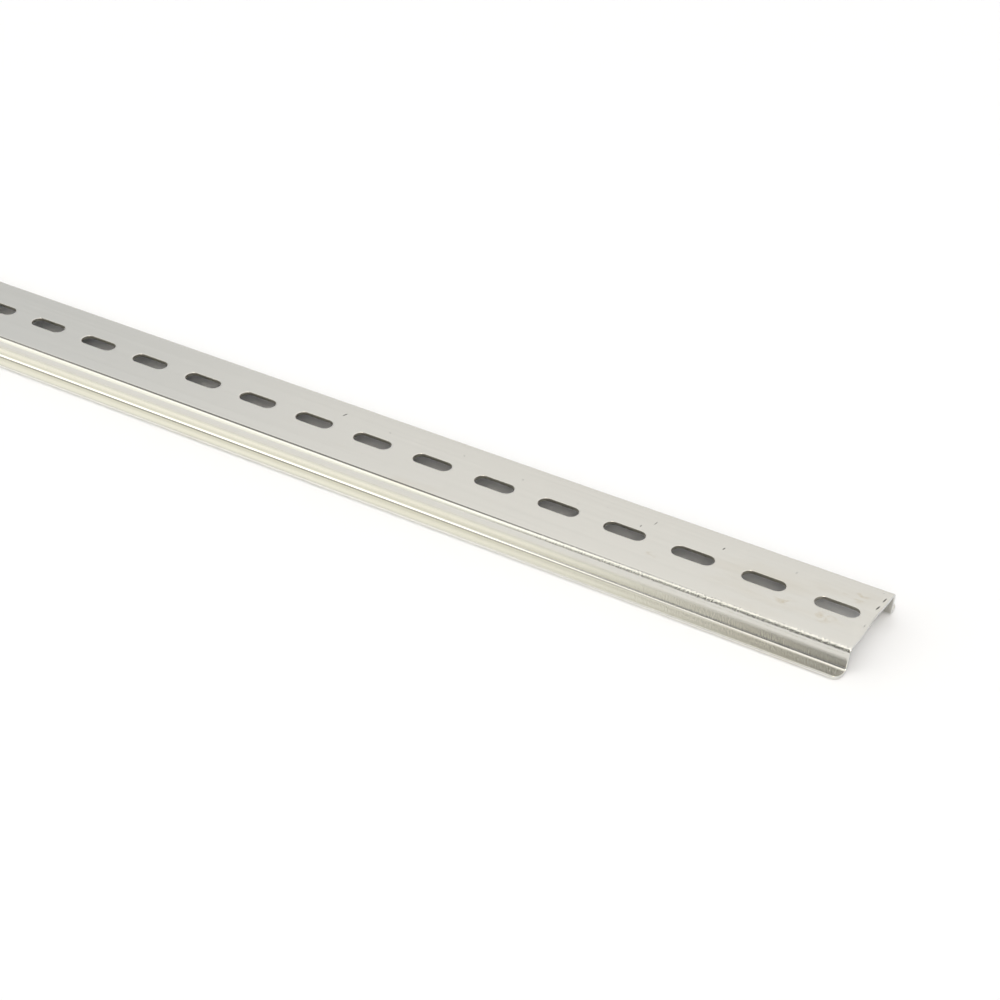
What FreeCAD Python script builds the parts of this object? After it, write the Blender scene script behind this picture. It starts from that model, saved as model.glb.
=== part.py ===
import FreeCAD, Part
import math
import os

# Perforated top-hat mounting rail, lying with its web up and its two flanges on the floor.
# X runs along the rail, Y across it, Z up; the middle of the underside is the origin. All in mm.

# Section
overall_width = 35.0
hat_width = 27.0
height = 7.5
sheet = 1.0
web_bend_inside_radius = 0.8
flange_bend_inside_radius = 0.8

# Slots along the middle of the web
slot_length = 12.0
slot_width = 4.5
slot_pitch = 20.0
slot_count = 50

# Flange corners at the two cut ends
corner_radius = 2.5

half_slot = slot_width / 2
rail_length = slot_count * slot_pitch
half_length = rail_length / 2
wall_outside = hat_width / 2
flange_tip = overall_width / 2
up = FreeCAD.Vector(0, 0, 1)
cos45 = math.sqrt(0.5)


def bent_strip(half_path):
    """Straight runs and bend arcs of one skin of the sheet, from the middle out to the flange tip."""
    edges = []
    start = FreeCAD.Vector(0, half_path[0][0], half_path[0][1])
    for y, z, radius, side_in, side_out in half_path[1:-1]:
        corner = FreeCAD.Vector(0, y, z)
        before = corner - side_in * radius
        after = corner + side_out * radius
        middle = before + side_out * radius - side_out * (radius * cos45) + side_in * (radius * cos45)
        edges.append(Part.LineSegment(start, before).toShape())
        edges.append(Part.Arc(before, middle, after).toShape())
        start = after
    end = FreeCAD.Vector(0, half_path[-1][0], half_path[-1][1])
    edges.append(Part.LineSegment(start, end).toShape())
    return edges


across = FreeCAD.Vector(0, 1, 0)
down = FreeCAD.Vector(0, 0, -1)
web_bend_outside_radius = web_bend_inside_radius + sheet
flange_bend_outside_radius = flange_bend_inside_radius + sheet

# Upper skin: along the web, down the outside of the wall, out along the flange.
upper_skin = bent_strip([
    (0, height),
    (wall_outside, height, web_bend_outside_radius, across, down),
    (wall_outside, sheet, flange_bend_inside_radius, down, across),
    (flange_tip, sheet),
])
# Lower skin: one sheet thickness behind it.
lower_skin = bent_strip([
    (0, height - sheet),
    (wall_outside - sheet, height - sheet, web_bend_inside_radius, across, down),
    (wall_outside - sheet, 0, flange_bend_outside_radius, down, across),
    (flange_tip, 0),
])
middle_line = Part.LineSegment(FreeCAD.Vector(0, 0, height - sheet), FreeCAD.Vector(0, 0, height)).toShape()
tip_edge = Part.LineSegment(FreeCAD.Vector(0, flange_tip, 0), FreeCAD.Vector(0, flange_tip, sheet)).toShape()
half_outline = Part.Wire(Part.__sortEdges__(upper_skin + [tip_edge] + lower_skin + [middle_line]))
half_section = Part.Face(half_outline)

half_rail = half_section.extrude(FreeCAD.Vector(rail_length, 0, 0))
half_rail.translate(FreeCAD.Vector(-half_length, 0, 0))
rail = half_rail.fuse(half_rail.mirror(FreeCAD.Vector(0, 0, 0), across)).removeSplitter()


def slot_cutter(x):
    """A round-ended slot along the rail, running through the web."""
    run = (slot_length - slot_width) / 2
    base = height - 2 * sheet
    corners = [
        FreeCAD.Vector(x - run, -half_slot, base),
        FreeCAD.Vector(x + run, -half_slot, base),
        FreeCAD.Vector(x + run, half_slot, base),
        FreeCAD.Vector(x - run, half_slot, base),
    ]
    right_end = FreeCAD.Vector(x + run + half_slot, 0, base)
    left_end = FreeCAD.Vector(x - run - half_slot, 0, base)
    outline = Part.Wire([
        Part.LineSegment(corners[0], corners[1]).toShape(),
        Part.Arc(corners[1], right_end, corners[2]).toShape(),
        Part.LineSegment(corners[2], corners[3]).toShape(),
        Part.Arc(corners[3], left_end, corners[0]).toShape(),
    ])
    return Part.Face(outline).extrude(up * (3 * sheet))


slots = []
for number in range(slot_count):
    slots.append(slot_cutter(slot_pitch * (number + 0.5) - half_length))
rail = rail.cut(Part.makeCompound(slots))

# The four outer corners of the flanges are rounded where the rail is cut off.
corner_edges = []
for edge in rail.Edges:
    middle = edge.CenterOfMass
    at_end = abs(abs(middle.x) - half_length) < 0.001
    at_tip = abs(abs(middle.y) - flange_tip) < 0.001
    if at_end and at_tip:
        corner_edges.append(edge)
rail = rail.makeFillet(corner_radius, corner_edges)

os.makedirs("parts", exist_ok=True)
rail.exportStep("parts/rail.step")
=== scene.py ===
import math

import bmesh
import bpy
from mathutils import Euler, Matrix, Vector


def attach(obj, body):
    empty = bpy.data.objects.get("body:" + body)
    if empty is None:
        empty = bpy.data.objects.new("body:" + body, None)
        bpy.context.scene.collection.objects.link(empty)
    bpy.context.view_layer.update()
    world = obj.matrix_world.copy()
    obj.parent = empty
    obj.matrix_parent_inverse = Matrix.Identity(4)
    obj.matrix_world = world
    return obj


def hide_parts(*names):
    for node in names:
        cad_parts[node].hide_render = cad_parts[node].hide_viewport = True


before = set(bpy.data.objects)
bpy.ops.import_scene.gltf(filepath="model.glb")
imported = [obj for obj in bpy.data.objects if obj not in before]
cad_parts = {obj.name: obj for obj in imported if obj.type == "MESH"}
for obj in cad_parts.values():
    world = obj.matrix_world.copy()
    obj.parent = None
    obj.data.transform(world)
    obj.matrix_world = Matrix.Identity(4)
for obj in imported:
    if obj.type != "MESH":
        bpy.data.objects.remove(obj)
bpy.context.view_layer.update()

print("frame loaded")


# Rail mesh: the bent sheet with fine bends, rolled slot rims and cut ends.
# All sizes in millimetres, the same as the CAD rail.
railSizes = {
    "overallWidth": 35.0,
    "hatWidth": 27.0,
    "height": 7.5,
    "sheet": 1.0,
    "bendInside": 0.8,
    "slotLength": 12.0,
    "slotWidth": 4.5,
    "pitch": 20.0,
    "slots": 50,
    "cornerRadius": 2.5,
    "edgeRound": 0.22,        # sheared long edges of the flanges
    "rimRoll": 0.09,          # punch roll-over on the web's back
    "rimBreak": 0.05,         # broken edge of the slots below
    "rimFlat": 0.9,           # ring of flat web round each slot
    "slotHold": 0.3,          # mesh ring this far above the slots' lower edge
    "endBow": 0.45,           # how far the web's cut edge bows in, where, and how wide
    "endBowAt": 1.0,
    "endBowWide": 5.0,
    "endLean": 0.3,           # how far the cut drifts in towards the near wall, from where, over how much
    "endLeanFrom": 8.0,
    "endLeanOver": 5.0,
    "footSetBack": 0.6,       # how far the cut leans in from the web to the flanges
    "endChamfer": 0.1,
    "endReach": 4.0,          # the cut is shaped by sliding this last stretch of the rail
    "endDepths": (0.3, 1.2, 3.0),                       # mesh columns close to a cut end
    "cellSteps": (10, 8),                               # web mesh of one pitch, along and across
    "slotSteps": 4,                                     # mesh steps along each straight side of a slot
    "bendSteps": (10, 8),                               # mesh steps round the upper and the lower bend
    "edgeSteps": 3,
    "rollSteps": 4,
    "bendHold": 0.05,                                   # points this close to a bend keep the wall even
    "flangeParts": (0.02, 0.3, 0.55, 0.78, 0.97, 1.0),  # points across the flat of a flange
}


# points round part of a circle with its middle at u, v
def arcPoints(u, v, radius, startDeg, endDeg, steps):
    points = []
    for i in range(steps + 1):
        a = math.radians(startDeg + (endDeg - startDeg) * i / steps)
        points.append((u + radius * math.cos(a), v + radius * math.sin(a)))
    return points


# upper and lower skin of one half, in matched pairs from the web's flat to the flange tip
def skinPairs(s):
    t = s["sheet"]
    inner = s["bendInside"]
    outer = inner + t
    wall = s["hatWidth"] / 2
    tip = s["overallWidth"] / 2
    webY = wall - outer
    webZ = s["height"] - outer
    flangeY = wall + inner
    flangeZ = t + inner
    webSteps, flangeSteps = s["bendSteps"]
    upper = arcPoints(webY, webZ, outer, 90, 0, webSteps)
    lower = arcPoints(webY, webZ, inner, 90, 0, webSteps)
    for z in (webZ - s["bendHold"], flangeZ + s["bendHold"]):
        upper.append((wall, z))
        lower.append((wall - t, z))
    upper += arcPoints(flangeY, flangeZ, inner, 180, 270, flangeSteps)
    lower += arcPoints(flangeY, flangeZ, outer, 180, 270, flangeSteps)
    r = s["edgeRound"]
    flatEnd = tip - r
    for part in s["flangeParts"]:
        y = flangeY + (flatEnd - flangeY) * part
        upper.append((y, t))
        lower.append((y, 0.0))
    upper += arcPoints(flatEnd, t - r, r, 90, 0, s["edgeSteps"])[1:]
    lower += arcPoints(flatEnd, r, r, 270, 360, s["edgeSteps"])[1:]
    return upper, lower


# places of the mesh columns along the rail, closer together at the two cut ends
def railStations(s):
    halfLength = s["slots"] * s["pitch"] / 2
    steps = s["cellSteps"][0]
    stations = []
    for k in range(s["slots"]):
        start = -halfLength + k * s["pitch"]
        for i in range(steps):
            stations.append(start + s["pitch"] * i / steps)
    stations.append(halfLength)
    for number, depth in enumerate(s["endDepths"], 1):
        stations[number] = depth - halfLength
        stations[-1 - number] = halfLength - depth
    return stations


# round-ended ring, counter-clockwise from its +X end, with as many points as the cell's border
def slotRing(s, centre, grow, z, count):
    radius = s["slotWidth"] / 2 + grow
    run = (s["slotLength"] - s["slotWidth"]) / 2
    steps = s["slotSteps"]
    quarter = (count - 2 * steps) // 4
    ring = arcPoints(run, 0.0, radius, 0, 90, quarter)[:-1]
    ring += [(run - 2 * run * i / steps, radius) for i in range(steps)]
    ring += arcPoints(-run, 0.0, radius, 90, 270, 2 * quarter)[:-1]
    ring += [(-run + 2 * run * i / steps, -radius) for i in range(steps)]
    ring += arcPoints(run, 0.0, radius, 270, 360, quarter)[:-1]
    return [(centre + x, y, z) for x, y in ring]


# indices into one cell's grid, counter-clockwise from the middle of its +X side
def cellBorder(nx, ny):
    border = [(nx, j) for j in range(ny // 2, ny)]
    border += [(nx - i, ny) for i in range(nx)]
    border += [(0, ny - j) for j in range(ny)]
    border += [(i, 0) for i in range(nx)]
    border += [(nx, j) for j in range(ny // 2)]
    return border


# closes a cut end with a lip of faces between the two skins and breaks its edges
def closeEnd(mesh, s, outline, sign):
    chamfer = s["endChamfer"] / s["sheet"]
    lip = []
    for u, v in outline:
        near = mesh.verts.new(u.co.lerp(v.co, chamfer))
        far = mesh.verts.new(v.co.lerp(u.co, chamfer))
        lip.append((near, far))
        u.co.x -= sign * s["endChamfer"] / 1000
        v.co.x -= sign * s["endChamfer"] / 1000
    for m in range(len(outline) - 1):
        a, b = outline[m], outline[m + 1]
        c, d = lip[m], lip[m + 1]
        for quad in ((a[0], b[0], d[0], c[0]), (c[0], d[0], d[1], c[1]), (c[1], d[1], b[1], a[1])):
            mesh.faces.new(quad if sign > 0 else quad[::-1])


# rounds the flange corners, bows the web's cut edge and leans the cut, by sliding the ends along X
def shapeEnds(mesh, s):
    halfLength = s["slots"] * s["pitch"] / 2
    radius = s["cornerRadius"]
    tip = s["overallWidth"] / 2
    wall = s["hatWidth"] / 2
    for v in mesh.verts:
        x = v.co.x * 1000
        side = v.co.y * 1000
        depth = halfLength - abs(x)
        if depth > s["endReach"]:
            continue
        cut = 0.0
        if abs(side) > tip - radius:
            past = min(abs(side) - (tip - radius), radius)
            cut = radius - math.sqrt(radius * radius - past * past)
        elif abs(side) < wall:
            cut = s["endBow"] * math.exp(-((side - s["endBowAt"]) / s["endBowWide"]) ** 2)
        lean = min(max((-side - s["endLeanFrom"]) / s["endLeanOver"], 0.0), 1.0)
        cut += s["endLean"] * lean * lean * (3 - 2 * lean)
        cut += s["footSetBack"] * (1 - v.co.z * 1000 / s["height"])
        reached = halfLength - depth - cut * (1 - depth / s["endReach"])
        v.co.x = math.copysign(reached, x) / 1000


def buildRail(s):
    mesh = bmesh.new()
    stations = railStations(s)
    upper, lower = skinPairs(s)
    webY = upper[0][0]
    nx, ny = s["cellSteps"]
    cellYs = [-webY + 2 * webY * j / ny for j in range(ny + 1)]
    top = s["height"]
    low = top - s["sheet"]

    def addVert(x, y, z):
        return mesh.verts.new((x / 1000, y / 1000, z / 1000))

    # the two bent sides: a grid of stations by section points, closed round the flange tip
    section = upper + lower[::-1]
    sides = {}
    for side in (1, -1):
        columns = []
        for x in stations:
            columns.append([addVert(x, side * y, z) for y, z in section])
        sides[side] = columns
        for a, b in zip(columns, columns[1:]):
            for m in range(len(section) - 1):
                face = (a[m], b[m], b[m + 1], a[m + 1])
                mesh.faces.new(face if side < 0 else face[::-1])

    crossings = {}

    # a corner of the web's mesh, on its back or below, shared with the bent sides at its edges
    def gridVert(back, station, j):
        if j in (0, ny):
            return sides[1 if j else -1][station][0 if back else -1]
        key = (back, station, j)
        if key not in crossings:
            crossings[key] = addVert(stations[station], cellYs[j], top if back else low)
        return crossings[key]

    # the flat web, cell by cell, with a rolled slot in each
    count = 2 * (nx + ny)
    border = cellBorder(nx, ny)
    roll = s["rimRoll"]
    rims = [(s["rimFlat"], top)]
    rims += arcPoints(roll, top - roll, roll, 90, 180, s["rollSteps"])
    rims += [(0.0, low + s["slotHold"]), (s["rimBreak"], low), (s["rimFlat"], low)]
    for k in range(s["slots"]):
        centre = (k + 0.5 - s["slots"] / 2) * s["pitch"]
        rings = [[gridVert(True, k * nx + i, j) for i, j in border]]
        for grow, z in rims:
            rings.append([addVert(*p) for p in slotRing(s, centre, grow, z, count)])
        rings.append([gridVert(False, k * nx + i, j) for i, j in border])
        for a, b in zip(rings, rings[1:]):
            for m in range(count):
                n = (m + 1) % count
                mesh.faces.new((a[m], a[n], b[n], b[m]))

    # the two cut ends, each from one flange tip to the other
    for end, sign in ((0, -1), (len(stations) - 1, 1)):
        pairs = range(len(upper))
        outline = [(sides[-1][end][m], sides[-1][end][-1 - m]) for m in reversed(pairs)]
        outline += [(gridVert(True, end, j), gridVert(False, end, j)) for j in range(1, ny)]
        outline += [(sides[1][end][m], sides[1][end][-1 - m]) for m in pairs]
        closeEnd(mesh, s, outline, sign)
    shapeEnds(mesh, s)

    mesh.normal_update()
    bmesh.ops.recalc_face_normals(mesh, faces=mesh.faces)
    data = bpy.data.meshes.new("railSheet")
    mesh.to_mesh(data)
    mesh.free()
    rail = bpy.data.objects.new("railSheet", data)
    bpy.context.collection.objects.link(rail)
    data.shade_smooth()
    return rail


rail = buildRail(railSizes)
print("rail mesh:", len(rail.data.polygons), "faces")


# Zinc finish, with positions on the rail in millimetres.
zincLook = {
    "colour": (0.785, 0.775, 0.742, 1.0),
    "toneDark": (0.772, 0.762, 0.729, 1.0),
    "stain": (0.67, 0.61, 0.50, 1.0),
    "tarnishAndShade": (0.34, 0.33, 0.27, 1.0),      # olive tarnish with painted shade at the root of the flanges
    # bare punched steel of the slot walls, darkened further by painted shade
    "punchedSteelShade": (0.40, 0.375, 0.32, 1.0),
    "wallTopShade": (0.70, 0.69, 0.65, 1.0),      # painted shade, darker on the upper half of the outside walls
    "wallFootHighlight": (0.96, 0.95, 0.92, 1.0),     # painted highlight, brighter on their lower half away from the worked ends
    "cutFace": (0.62, 0.62, 0.61, 1.0),
    "underside": (0.52, 0.51, 0.475, 1.0),   # painted shade on the inside of the walls
    "mark": (0.10, 0.095, 0.09, 1.0),
    # how strongly the upper layers cover, where 1 is fully
    "cloudDepth": 0.35,
    "tarnishShadeDepth": 0.65,
    "tarnishShadeWorked": -0.55,                     # added to the depth of the tarnish and painted shade where the bends are worked
    "markDepth": 0.95,
    "punchedShadeDepth": 0.85,
    "cutDepth": 0.8,
    # patterns: scale per metre, and the values of the noise from none to full
    "rollLines": (5.0, 900.0, 900.0),
    "rollRange": (0.3, 0.7),
    "toneLines": (9.0, 700.0, 700.0),
    "toneRange": (0.36, 0.58),
    "cloudScale": (18.0, 60.0, 60.0),
    "cloudRange": (0.52, 0.78),
    "wispScale": (260.0, 420.0, 420.0),
    "wispRange": (0.44, 0.66),
    "grainScale": (2000.0, 2000.0, 2000.0),
    "creaseScale": (2400.0, 1400.0, 1400.0),
    # roughness: rubbed to streaky, and what stains and punched walls add
    "roughness": (0.14, 0.22),
    "stainDull": 0.1,
    "punchedDull": 0.35,
    # relief: the height of one step in metres, then all heights in steps
    "relief": 0.000005,
    "linesRelief": (0.3, 2.0),               # on the web and on the walls
    "grainRelief": (0.03, 18.0),             # everywhere, and added on a worked bend
    "creaseRelief": 7.0,
    "creaseOnFoot": 0.12,                    # share of the creases left on the flanges
    "markRelief": -3.0,
    # zones, from none to full: out from the outside of the walls, then up from the floor
    "topBendOut": (-1.6, -0.7),
    "lowWallOut": (-0.3, -0.1),
    "highWallOut": (-0.6, -0.2),
    "rootOut": (0.1, 0.4),
    "rootFade": (3.8, 0.6),
    "footLightFade": (0.7, 0.3),
    "insideOut": (-0.4, -0.8),
    "insideFade": (-2.0, -1.3),
    "linesOut": (-1.7, -0.5),
    "creaseFade": (0.1, 0.6),
    "topBendUp": (5.3, 6.2),
    "lowWallUp": (4.4, 2.6),
    "highWallUp": (3.1, 4.0),
    "insideUp": (6.9, 6.6),
    # zones along the rail from its middle, across it, and by how much a face leans
    "workedAlong": (385.0, 470.0),           # the bends get grainy towards the cut ends
    "workedLeast": 0.08,
    "cutAlong": (496.5, 497.2),
    "slotAcross": (3.0, 2.5),
    "uprightLean": (0.6, 0.3),
    "endOnLean": (0.5, 0.8),
    # nicks, dots and scratches: x, y, half length, half width, bearing
    "marks": [
        (335.8, 6.8, 0.95, 0.24, 68),
        (351.9, 5.9, 0.20, 0.18, 0),
        (375.7, 7.2, 0.20, 0.17, 0),
        (395.4, 5.9, 0.20, 0.18, 0),
        (413.6, 4.1, 0.14, 0.12, 0),
        (415.7, 1.6, 0.13, 0.12, 0),
        (421.0, 6.8, 0.15, 0.12, 0),
        (432.5, 4.2, 0.42, 0.18, 75),
        (435.3, 7.3, 0.95, 0.11, 85),
        (455.4, 6.7, 0.60, 0.22, 75),
        (475.6, 7.3, 0.50, 0.08, 85),
        (497.6, 11.1, 0.16, 0.12, 0),
        (498.9, 8.6, 1.10, 0.22, 83),
        (498.7, 4.9, 1.10, 0.24, 81),
        (498.8, -3.4, 0.65, 0.07, 88),
    ],
    "markEdge": (1.1, 0.5),
    # soft brown stains: x, y, reach
    "stainSpots": [(492.5, 6.3, 5.5), (478.0, -4.5, 4.0), (489.0, -5.5, 5.0), (441.0, -5.5, 3.0)],
    "spotEdge": (1.0, 0.1),
    "spotSquash": 0.6,
    "patchHeight": 0.6,                      # how far marks and stains reach up and down
}


def addNode(tree, kind, x, y, **settings):
    node = tree.nodes.new(kind)
    node.location = (x, y)
    for name, value in settings.items():
        setattr(node, name, value)
    return node


# fills sockets in order, each with a plain value or a link
def fillSockets(tree, sockets, values):
    for socket, value in zip(sockets, values):
        if isinstance(value, bpy.types.NodeSocket):
            tree.links.new(value, socket)
        else:
            socket.default_value = value


def smoothRange(tree, source, limits, x, y, toMin=0.0, toMax=1.0):
    node = addNode(tree, "ShaderNodeMapRange", x, y, interpolation_type="SMOOTHSTEP")
    fillSockets(tree, node.inputs, (source, limits[0], limits[1], toMin, toMax))
    return node.outputs["Result"]


def combine(tree, operation, a, b, x, y, c=0.0):
    node = addNode(tree, "ShaderNodeMath", x, y, operation=operation)
    fillSockets(tree, node.inputs, (a, b, c))
    return node.outputs[0]


# lays one colour over another, as far as the mask says
def layColour(tree, base, top, mask, x, y):
    node = addNode(tree, "ShaderNodeMix", x, y, data_type="RGBA")
    fillSockets(tree, (node.inputs["Factor"], node.inputs[6], node.inputs[7]), (mask, base, top))
    return node.outputs[2]


def stretchedNoise(tree, coords, scale, x, y, detail=3.0, rough=0.55):
    mapping = addNode(tree, "ShaderNodeMapping", x, y)
    mapping.inputs["Scale"].default_value = scale
    tree.links.new(coords, mapping.inputs["Vector"])
    noise = addNode(tree, "ShaderNodeTexNoise", x + 180, y)
    noise.inputs["Scale"].default_value = 1.0
    noise.inputs["Detail"].default_value = detail
    noise.inputs["Roughness"].default_value = rough
    tree.links.new(mapping.outputs["Vector"], noise.inputs["Vector"])
    return noise.outputs["Fac"]


# soft-edged patch on the web's back, full in its middle
def webPatch(tree, coords, look, x, y, halfLength, halfWidth, bearing, edge, row):
    local = addNode(tree, "ShaderNodeMapping", -1000, row, vector_type="TEXTURE")
    local.inputs["Location"].default_value = (x / 1000, y / 1000, railSizes["height"] / 1000)
    local.inputs["Rotation"].default_value = (0.0, 0.0, math.radians(bearing))
    local.inputs["Scale"].default_value = (halfLength / 1000, halfWidth / 1000, look["patchHeight"] / 1000)
    tree.links.new(coords, local.inputs["Vector"])
    reach = addNode(tree, "ShaderNodeVectorMath", -800, row, operation="LENGTH")
    tree.links.new(local.outputs["Vector"], reach.inputs[0])
    return smoothRange(tree, reach.outputs["Value"], edge, -600, row)


# masks that tell the parts of the rail apart
def railMasks(tree, coords, look):
    place = addNode(tree, "ShaderNodeSeparateXYZ", -1200, 400)
    tree.links.new(coords, place.inputs[0])
    along = combine(tree, "ABSOLUTE", place.outputs["X"], 0.0, -1000, 800)
    across = combine(tree, "ABSOLUTE", place.outputs["Y"], 0.0, -1000, 500)
    facing = addNode(tree, "ShaderNodeSeparateXYZ", 300, 900)
    tree.links.new(addNode(tree, "ShaderNodeNewGeometry", 100, 900).outputs["Normal"], facing.inputs[0])
    wall = railSizes["hatWidth"] / 2

    def zone(source, name, x, y, start=0.0, toMin=0.0, toMax=1.0):
        limits = [(start + limit) / 1000 for limit in look[name]]
        return smoothRange(tree, source, limits, x, y, toMin, toMax)

    def outFromWall(name, x, y, toMin=0.0, toMax=1.0):
        return zone(across, name, x, y, wall, toMin, toMax)

    def upFromFloor(name, x, y):
        return zone(place.outputs["Z"], name, x, y)

    def faceLean(axis, name, x, y):
        lean = combine(tree, "ABSOLUTE", facing.outputs[axis], 0.0, x - 150, y)
        return smoothRange(tree, lean, look[name], x, y)

    def both(a, b, x, y):
        return combine(tree, "MULTIPLY", a, b, x, y)

    # a zone with limits both out from the walls and up from the floor
    def belt(outName, upName, x, y):
        return both(outFromWall(outName, x, y), upFromFloor(upName, x, y + 150), x + 200, y)

    masks = {}
    masks["worked"] = zone(along, "workedAlong", -800, 800, 0.0, look["workedLeast"], 1.0)
    masks["untouched"] = zone(along, "workedAlong", 400, 1150, 0.0, 1.0, 0.0)
    masks["topBend"] = belt("topBendOut", "topBendUp", -800, 400)
    masks["lowWall"] = belt("lowWallOut", "lowWallUp", -800, 0)
    # zone of the painted shade on the upper outside walls
    masks["highWall"] = belt("highWallOut", "highWallUp", 250, 700)
    # zone of the tarnish and painted shade in the crease at the flange root
    masks["root"] = both(outFromWall("rootOut", -800, -50), outFromWall("rootFade", -800, -150), -600, -50)
    # zone of the painted highlight on the lower outside walls
    masks["brightFoot"] = both(masks["lowWall"], outFromWall("footLightFade", 400, 1000), 550, 1000)
    # zone of the painted shade on the inside of the walls, under the web
    inside = both(outFromWall("insideOut", 600, 1500), outFromWall("insideFade", 600, 1700), 750, 1500)
    masks["inside"] = both(inside, upFromFloor("insideUp", 750, 1900), 900, 1500)
    masks["linesDepth"] = outFromWall("linesOut", -200, -400, *look["linesRelief"])
    masks["offWall"] = outFromWall("creaseFade", -200, -850, 1.0, look["creaseOnFoot"])
    upright = faceLean("Z", "uprightLean", 600, 900)
    masks["slotWall"] = both(upright, zone(across, "slotAcross", 600, 700), 750, 800)
    endOn = faceLean("X", "endOnLean", 600, 1100)
    masks["cutFace"] = both(endOn, zone(along, "cutAlong", 600, 1300), 750, 1100)

    marks = 0.0
    for number, mark in enumerate(look["marks"]):
        row = -1300 - 200 * number
        patch = webPatch(tree, coords, look, *mark, look["markEdge"], row)
        marks = combine(tree, "MAXIMUM", patch, marks, -300, row)
    masks["marks"] = marks
    spots = 0.0
    for number, (x, y, size) in enumerate(look["stainSpots"]):
        row = 1000 + 200 * number
        width = size * look["spotSquash"]
        patch = webPatch(tree, coords, look, x, y, size, width, 0, look["spotEdge"], row)
        spots = combine(tree, "MAXIMUM", patch, spots, -300, row)
    masks["spots"] = spots
    return masks


# warm clouds and spots of stain over the plating
def stainCover(tree, coords, look, masks):
    clouds = stretchedNoise(tree, coords, look["cloudScale"], -1000, -450, 5.0, 0.6)
    wisps = stretchedNoise(tree, coords, look["wispScale"], -1000, -1150, 6.0, 0.7)
    cloudy = smoothRange(tree, clouds, look["cloudRange"], -500, -300, 0.0, look["cloudDepth"])
    wispy = smoothRange(tree, wisps, look["wispRange"], -500, 900)
    spotty = combine(tree, "MULTIPLY", masks["spots"], wispy, -150, 900)
    return combine(tree, "MAXIMUM", cloudy, spotty, 150, 600)


def zincColour(tree, coords, look, masks, stained):
    fineLines = stretchedNoise(tree, coords, look["toneLines"], -1000, 1900, 3.0, 0.6)
    toneMask = smoothRange(tree, fineLines, look["toneRange"], -500, 1900)
    # tarnish with painted shade at the flange root, weaker where the bends are worked
    tarnishShadeAmount = combine(tree, "MULTIPLY_ADD", masks["worked"], look["tarnishShadeWorked"], 250, 500, look["tarnishShadeDepth"])
    tarnishShadeMask = combine(tree, "MULTIPLY", masks["root"], tarnishShadeAmount, 400, 400)
    footLightMask = combine(tree, "MULTIPLY", masks["brightFoot"], masks["untouched"], 600, 1150)
    markMask = combine(tree, "MULTIPLY", masks["marks"], look["markDepth"], 500, 400)
    # slot walls: bare punched steel with painted shade
    punchedShadeMask = combine(tree, "MULTIPLY", masks["slotWall"], look["punchedShadeDepth"], 850, 700)
    cutMask = combine(tree, "MULTIPLY", masks["cutFace"], look["cutDepth"], 900, 1100)
    colour = layColour(tree, look["toneDark"], look["colour"], toneMask, 100, 300)
    colour = layColour(tree, colour, look["stain"], stained, 300, 200)
    colour = layColour(tree, colour, look["tarnishAndShade"], tarnishShadeMask, 450, 200)
    # painted shade on the upper half of the outside walls
    colour = layColour(tree, colour, look["wallTopShade"], masks["highWall"], 550, 400)
    # painted highlight on the lower outside walls, away from the worked ends
    colour = layColour(tree, colour, look["wallFootHighlight"], footLightMask, 650, 300)
    colour = layColour(tree, colour, look["mark"], markMask, 750, 200)
    colour = layColour(tree, colour, look["punchedSteelShade"], punchedShadeMask, 900, 200)
    # painted shade on the inside of the walls
    colour = layColour(tree, colour, look["underside"], masks["inside"], 1000, 400)
    return layColour(tree, colour, look["cutFace"], cutMask, 1050, 200)


# a little streaky, duller where it is stained or punched
def zincRoughness(tree, look, masks, stained, rollLines):
    streaks = smoothRange(tree, rollLines, look["rollRange"], -500, -100, *look["roughness"])
    dull = combine(tree, "MULTIPLY_ADD", stained, look["stainDull"], -200, -100, streaks)
    return combine(tree, "MULTIPLY_ADD", masks["slotWall"], look["punchedDull"], 150, -50, dull)


# rolled lines everywhere, grain on the web bend, cross creases on the low wall, pressed marks
def zincRelief(tree, coords, look, masks, rollLines):
    grain = stretchedNoise(tree, coords, look["grainScale"], -1000, -700, 2.0)
    creases = stretchedNoise(tree, coords, look["creaseScale"], -1000, -950, 2.0)
    linesHeight = combine(tree, "MULTIPLY", rollLines, masks["linesDepth"], 0, -400)
    grainLeast, grainAdded = look["grainRelief"]
    bendWork = combine(tree, "MULTIPLY", masks["topBend"], masks["worked"], -200, -600)
    grainStrength = combine(tree, "MULTIPLY_ADD", bendWork, grainAdded, 0, -550, grainLeast)
    grainHeight = combine(tree, "MULTIPLY", grain, grainStrength, 200, -550)
    wallWork = combine(tree, "MULTIPLY", masks["lowWall"], masks["worked"], 0, -750)
    wallWork = combine(tree, "MULTIPLY", wallWork, masks["offWall"], 100, -800)
    creaseHeight = combine(tree, "MULTIPLY", creases, wallWork, 200, -750)
    creaseHeight = combine(tree, "MULTIPLY", creaseHeight, look["creaseRelief"], 300, -750)
    height = combine(tree, "ADD", linesHeight, grainHeight, 400, -450)
    height = combine(tree, "ADD", height, creaseHeight, 600, -500)
    height = combine(tree, "MULTIPLY_ADD", masks["marks"], look["markRelief"], 750, -500, height)
    bump = addNode(tree, "ShaderNodeBump", 900, -400)
    bump.inputs["Strength"].default_value = 1.0
    bump.inputs["Distance"].default_value = look["relief"]
    tree.links.new(height, bump.inputs["Height"])
    return bump.outputs["Normal"]


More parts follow.
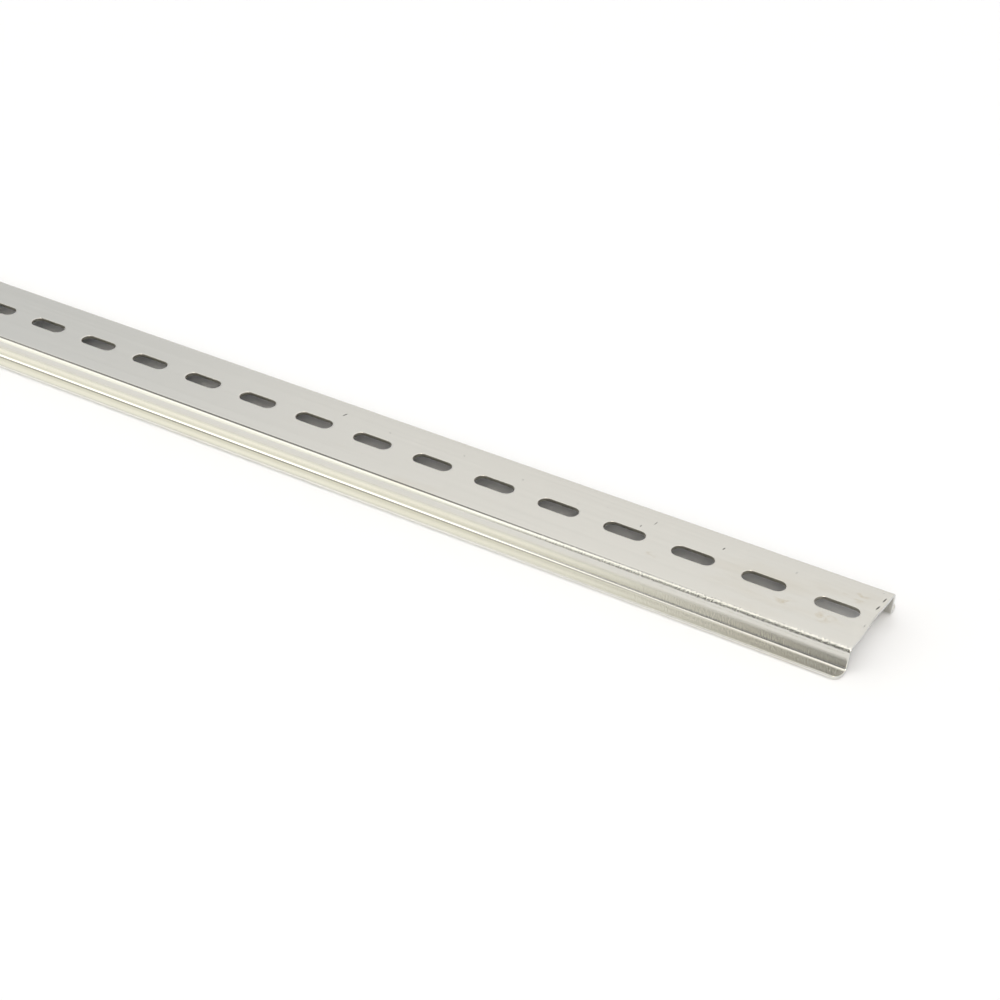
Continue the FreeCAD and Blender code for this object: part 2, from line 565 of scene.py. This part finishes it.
def zincPlate(look):
    material = bpy.data.materials.new("zincPlate")
    material.use_nodes = True
    tree = material.node_tree
    tree.nodes.clear()
    output = addNode(tree, "ShaderNodeOutputMaterial", 1500, 0)
    shader = addNode(tree, "ShaderNodeBsdfPrincipled", 1200, 0)
    shader.inputs["Metallic"].default_value = 1.0
    tree.links.new(shader.outputs["BSDF"], output.inputs["Surface"])
    coords = addNode(tree, "ShaderNodeTexCoord", -1400, 0).outputs["Object"]
    rollLines = stretchedNoise(tree, coords, look["rollLines"], -1000, -200, 2.0)
    masks = railMasks(tree, coords, look)
    stained = stainCover(tree, coords, look, masks)
    tree.links.new(zincColour(tree, coords, look, masks, stained), shader.inputs["Base Color"])
    tree.links.new(zincRoughness(tree, look, masks, stained, rollLines), shader.inputs["Roughness"])
    tree.links.new(zincRelief(tree, coords, look, masks, rollLines), shader.inputs["Normal"])
    return material


rail.data.materials.append(zincPlate(zincLook))
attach(rail, "root")
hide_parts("rail")
print("zinc finish on the rail")


# Floor and studio light.
studio = {
    "floorSize": 80.0,
    "floorSteps": 8,
    "floorDrop": 0.0001,                   # the floor lies this far under the rail
    "floorColour": (0.90, 0.915, 0.96, 1.0),
    "floorRoughness": 0.8,
    "skyLow": 0.78,
    "skyHigh": 0.96,
    "skyRise": (0.2, 0.9),                 # from level, 0, to overhead, 1
    "backDim": 0.82,                       # back wall towards the rail's far end
    "backFar": (-0.42, -0.72),
    "backRise": (0.1, 0.4),
    "backWarm": (1.0, 0.985, 0.945, 1.0),
    "backCool": (0.99, 1.0, 0.995, 1.0),
    "keyGlow": 0.55,                       # big warm light on the camera's left
    "keyColour": (0.99, 0.985, 0.905, 1.0),
    "keyRight": (156, -0.08, 0.06),        # bearing of an upright plane and the soft edge along it
    "keyLeft": (293, -0.08, 0.14),
    "keyTop": (0.92, 0.78),
    "frontDim": 0.10,                      # dark side of the room behind the camera
    "frontLeft": (150, -0.03, -0.115),
    "frontFacing": (-0.35, -0.6),
    "frontTop": (0.84, 0.66),
    "gapDim": 0.20,                        # dark gap between the key light and the back wall
    "gapAxis": (-0.56, -0.10, 0.82),
    "gapCone": (18, 8),                    # degrees off the axis, from none to full
    "cameraGlow": 6.2,                     # soft light behind the camera, it reaches through the slots
    "cameraColour": (1.0, 0.93, 0.80, 1.0),
    "cameraAxis": (0.34, -0.71, 0.62),
    "cameraCone": (21, 9),
    "boxSize": (1.2, 0.8),
    "boxPower": 1.6,
    "boxColour": (1.0, 0.97, 0.93),
    "boxPlace": (0.5, -0.3, 1.6),
    "boxTarget": (0.3, 0.0, 0.0),
}


def paleFloor(look):
    mesh = bmesh.new()
    half = look["floorSize"] / 2
    steps = look["floorSteps"]
    rows = []
    for i in range(steps + 1):
        row = []
        for j in range(steps + 1):
            x = half * (2 * i / steps - 1)
            y = half * (2 * j / steps - 1)
            row.append(mesh.verts.new((x, y, -look["floorDrop"])))
        rows.append(row)
    for i in range(steps):
        for j in range(steps):
            mesh.faces.new((rows[i][j], rows[i + 1][j], rows[i + 1][j + 1], rows[i][j + 1]))
    data = bpy.data.meshes.new("paleFloor")
    mesh.to_mesh(data)
    mesh.free()
    floor = bpy.data.objects.new("paleFloor", data)
    bpy.context.collection.objects.link(floor)
    material = bpy.data.materials.new("paleFloorPaint")
    material.use_nodes = True
    shader = material.node_tree.nodes["Principled BSDF"]
    shader.inputs["Base Color"].default_value = look["floorColour"]
    shader.inputs["Roughness"].default_value = look["floorRoughness"]
    shader.inputs["Specular IOR Level"].default_value = 0.0
    data.materials.append(material)


def studioSky(look):
    world = bpy.data.worlds.new("studioSky")
    bpy.context.scene.world = world
    world.use_nodes = True
    tree = world.node_tree
    tree.nodes.clear()
    output = addNode(tree, "ShaderNodeOutputWorld", 1600, 0)
    background = addNode(tree, "ShaderNodeBackground", 1400, 0)
    tree.links.new(background.outputs[0], output.inputs[0])
    direction = addNode(tree, "ShaderNodeTexCoord", -800, 0).outputs["Generated"]
    parts = addNode(tree, "ShaderNodeSeparateXYZ", -600, 0)
    tree.links.new(direction, parts.inputs[0])
    x, y, z = parts.outputs

    def multiply(a, b, nodeX, nodeY):
        return combine(tree, "MULTIPLY", a, b, nodeX, nodeY)

    # how far a direction points along an axis
    def onAxis(axis, nodeY):
        dot = addNode(tree, "ShaderNodeVectorMath", -600, nodeY, operation="DOT_PRODUCT")
        tree.links.new(direction, dot.inputs[0])
        dot.inputs[1].default_value = Vector(axis).normalized()
        return dot.outputs["Value"]

    # soft edge beside an upright plane
    def besidePlane(name, nodeY):
        bearing, low, high = look[name]
        a = math.radians(bearing)
        return smoothRange(tree, onAxis((math.cos(a), math.sin(a), 0.0), nodeY), (low, high), -200, nodeY)

    # soft-edged cone of directions
    def inCone(axisName, coneName, nodeY, toMin=0.0, toMax=1.0):
        limits = [math.cos(math.radians(degrees)) for degrees in look[coneName]]
        return smoothRange(tree, onAxis(look[axisName], nodeY), limits, -200, nodeY, toMin, toMax)

    light = smoothRange(tree, z, look["skyRise"], -200, 300, look["skyLow"], look["skyHigh"])

    # the back wall falls off towards the far end of the rail
    farSide = smoothRange(tree, x, look["backFar"], -200, 100)
    behind = smoothRange(tree, y, look["backRise"], -200, -100)
    fall = multiply(farSide, behind, 0, 0)
    backDim = smoothRange(tree, fall, (0.0, 1.0), 200, 0, 1.0, look["backDim"])
    light = multiply(light, backDim, 400, 200)

    # the key light, a tall soft panel on the camera's left
    key = multiply(besidePlane("keyRight", -300), besidePlane("keyLeft", -500), 0, -400)
    key = multiply(key, smoothRange(tree, z, look["keyTop"], -200, -700), 200, -500)
    light = combine(tree, "MULTIPLY_ADD", key, look["keyGlow"], 600, 100, light)

    # the dark side of the room, right of the key light
    facing = smoothRange(tree, y, look["frontFacing"], -200, -1100)
    dark = multiply(besidePlane("frontLeft", -900), facing, 0, -1000)
    dark = multiply(dark, smoothRange(tree, z, look["frontTop"], -200, -1300), 200, -1100)
    dim = smoothRange(tree, dark, (0.0, 1.0), 400, -1000, 1.0, look["frontDim"])
    light = multiply(light, dim, 800, 0)

    # the gap above the key light
    light = multiply(light, inCone("gapAxis", "gapCone", -1500, 1.0, look["gapDim"]), 1000, 0)

    # soft light behind the camera
    glow = inCone("cameraAxis", "cameraCone", -1900)
    light = combine(tree, "MULTIPLY_ADD", glow, look["cameraGlow"], 1250, 0, light)

    colour = layColour(tree, look["backWarm"], look["backCool"], fall, 800, 300)
    colour = layColour(tree, colour, look["keyColour"], key, 1000, 300)
    colour = layColour(tree, colour, look["cameraColour"], glow, 1200, 300)
    tree.links.new(colour, background.inputs["Color"])
    tree.links.new(light, background.inputs["Strength"])


def softBox(look):
    data = bpy.data.lights.new("overheadBox", "AREA")
    data.shape = "RECTANGLE"
    data.size, data.size_y = look["boxSize"]
    data.energy = look["boxPower"]
    data.color = look["boxColour"]
    lamp = bpy.data.objects.new("overheadBox", data)
    bpy.context.collection.objects.link(lamp)
    lamp.location = look["boxPlace"]
    lamp.rotation_euler = (Vector(look["boxTarget"]) - lamp.location).to_track_quat("-Z", "Y").to_euler()


paleFloor(studio)
studioSky(studio)
softBox(studio)
print("floor and light set")


# Camera at the photograph's angle.
cameraSet = {
    "place": (0.6301, -0.3738, 0.3152),
    "azimuth": 32.52,
    "elevation": 35.149,
    "roll": -0.319,
    "lens": 72.62,
    "sensor": 36.0,
    "clipStart": 0.01,
}


def photoCamera(look):
    data = bpy.data.cameras.new("photoCamera")
    data.sensor_width = look["sensor"]
    data.lens = look["lens"]
    data.clip_start = look["clipStart"]
    camera = bpy.data.objects.new("photoCamera", data)
    bpy.context.collection.objects.link(camera)
    turn = Euler((math.radians(90 - look["elevation"]), 0.0, math.radians(look["azimuth"]))).to_matrix()
    turn = turn @ Matrix.Rotation(math.radians(look["roll"]), 3, "Z")
    camera.matrix_world = Matrix.Translation(look["place"]) @ turn.to_4x4()
    bpy.context.scene.camera = camera


photoCamera(cameraSet)
bpy.context.scene.view_settings.view_transform = "Standard"
print("camera placed")
